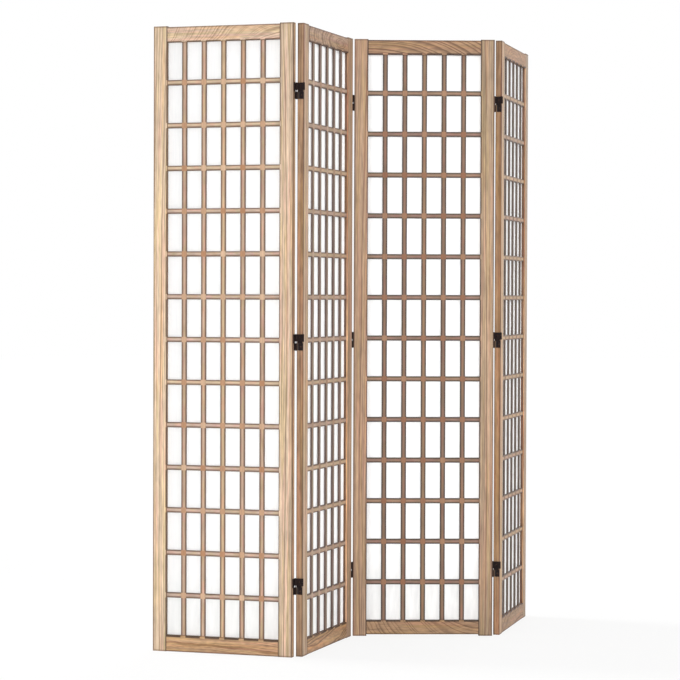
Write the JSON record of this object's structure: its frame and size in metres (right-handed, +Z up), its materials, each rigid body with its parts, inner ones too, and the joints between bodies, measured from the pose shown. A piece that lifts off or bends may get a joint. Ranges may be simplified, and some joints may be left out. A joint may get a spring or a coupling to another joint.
{
  "type": "folding room divider",
  "caption": "Free-standing folding screen of wooden lattice panels backed with white paper, joined edge to edge by two-way hinges and standing in a zigzag.",
  "frame": {"origin": "middle of the bounding box on the floor, in the zigzag pose of the picture", "axes": "+Z up along the stiles, +X to the viewer's right, +Y away from the viewer, towards the papered backs"},
  "size_m": [1.1374, 0.846, 1.79],
  "materials": {
    "stile_wood": "satin clear lacquer, straight grain along the stile",
    "rail_wood": "satin clear lacquer, flowing flat-sawn grain along the rail",
    "lattice_wood": "satin clear lacquer, fine straight grain along each bar",
    "dowel_wood": "plain turned hardwood",
    "paper": "matte translucent white fibre paper",
    "hinge_bronze": "dark oil-rubbed bronze plating on steel, satin",
    "pin_bronze": "dark bronze plating on steel, slightly polished",
    "screw_bronze": "dark bronze plating on steel"
  },
  "bodies": {
    "panel_1": {"panel_1_left_stile": "stile_wood", "panel_1_right_stile": "stile_wood", "panel_1_top_rail": "rail_wood", "panel_1_bottom_rail": "rail_wood", "panel_1_uprights": "lattice_wood", "panel_1_crossbars": "lattice_wood", "panel_1_paper": "paper", "panel_1_dowels": "dowel_wood", "hinge_12_working_leaves": "hinge_bronze", "hinge_12_working_pins": "pin_bronze", "hinge_12_working_screws": "screw_bronze"},
    "link_12": {"hinge_12_links": "hinge_bronze"},
    "panel_2": {"panel_2_left_stile": "stile_wood", "panel_2_right_stile": "stile_wood", "panel_2_top_rail": "rail_wood", "panel_2_bottom_rail": "rail_wood", "panel_2_uprights": "lattice_wood", "panel_2_crossbars": "lattice_wood", "panel_2_paper": "paper", "panel_2_dowels": "dowel_wood", "hinge_12_closed_leaves": "hinge_bronze", "hinge_12_closed_pins": "pin_bronze", "hinge_12_closed_screws": "screw_bronze", "hinge_23_closed_leaves": "hinge_bronze", "hinge_23_closed_pins": "pin_bronze", "hinge_23_closed_screws": "screw_bronze"},
    "link_23": {"hinge_23_links": "hinge_bronze"},
    "panel_3": {"panel_3_left_stile": "stile_wood", "panel_3_right_stile": "stile_wood", "panel_3_top_rail": "rail_wood", "panel_3_bottom_rail": "rail_wood", "panel_3_uprights": "lattice_wood", "panel_3_crossbars": "lattice_wood", "panel_3_paper": "paper", "panel_3_dowels": "dowel_wood", "hinge_23_working_leaves": "hinge_bronze", "hinge_23_working_pins": "pin_bronze", "hinge_23_working_screws": "screw_bronze", "hinge_34_working_leaves": "hinge_bronze", "hinge_34_working_pins": "pin_bronze", "hinge_34_working_screws": "screw_bronze"},
    "link_34": {"hinge_34_links": "hinge_bronze"},
    "panel_4": {"panel_4_left_stile": "stile_wood", "panel_4_right_stile": "stile_wood", "panel_4_top_rail": "rail_wood", "panel_4_bottom_rail": "rail_wood", "panel_4_uprights": "lattice_wood", "panel_4_crossbars": "lattice_wood", "panel_4_paper": "paper", "panel_4_dowels": "dowel_wood", "hinge_34_closed_leaves": "hinge_bronze", "hinge_34_closed_pins": "pin_bronze", "hinge_34_closed_screws": "screw_bronze"}
  },
  "joints": [
    {"name": "reverse_12", "type": "hinge", "parent": "panel_2", "child": "link_12", "pos_m": [-0.13838, -0.41216, 0.895], "axis": [0, 0, 1], "range_deg": [0, 180]},
    {"name": "fold_12", "type": "hinge", "parent": "link_12", "child": "panel_1", "pos_m": [-0.15849, -0.40484, 0.895], "axis": [0, 0, -1], "range_deg": [-87, 93]},
    {"name": "reverse_23", "type": "hinge", "parent": "panel_2", "child": "link_23", "pos_m": [-0.01279, -0.00453, 0.895], "axis": [0, 0, 1], "range_deg": [0, 172]},
    {"name": "fold_23", "type": "hinge", "parent": "link_23", "child": "panel_3", "pos_m": [0.00732, -0.01185, 0.895], "axis": [0, 0, -1], "range_deg": [-69, 111]},
    {"name": "fold_34", "type": "hinge", "parent": "panel_3", "child": "link_34", "pos_m": [0.43289, 0.01698, 0.895], "axis": [0, 0, 1], "range_deg": [-73, 107]},
    {"name": "reverse_34", "type": "hinge", "parent": "link_34", "child": "panel_4", "pos_m": [0.45346, 0.01108, 0.895], "axis": [0, 0, -1], "range_deg": [0, 180]}
  ]
}
